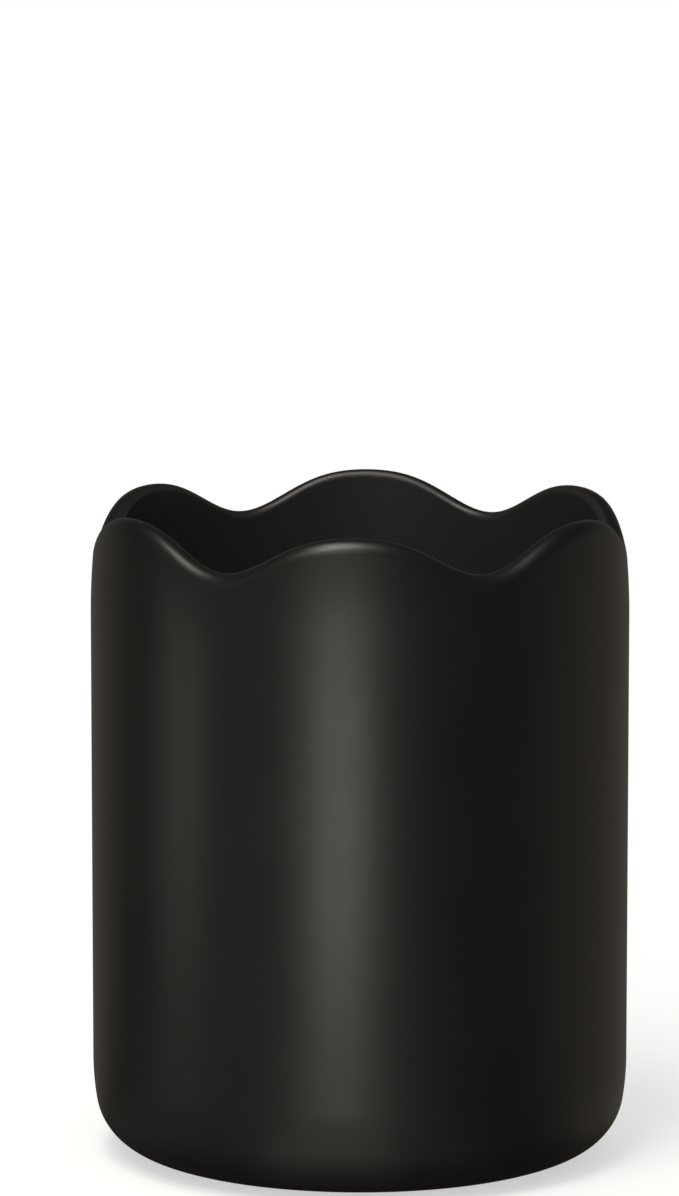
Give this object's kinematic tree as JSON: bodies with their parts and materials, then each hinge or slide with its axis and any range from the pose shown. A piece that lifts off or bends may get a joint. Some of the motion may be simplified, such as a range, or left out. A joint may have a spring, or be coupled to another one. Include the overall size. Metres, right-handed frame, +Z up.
{
  "type": "utensil crock",
  "caption": "Straight round stoneware crock with a scalloped, rounded rim, a softly rounded base and a cork pad under its foot, for standing kitchen utensils in.",
  "frame": {"origin": "middle of the pad's underside, on the surface that the crock stands on", "axes": "+Z up along the crock's axis, out of its mouth; -Y towards the viewer, with a crest of the rim facing -Y"},
  "size_m": [0.15, 0.15, 0.183],
  "materials": {
    "black_glaze": "satin warm black glaze over fired stoneware",
    "cork": "bare pressed cork granules"
  },
  "bodies": {
    "root": {"crock_body": "black_glaze", "base_pad": "cork"}
  },
  "joints": []
}
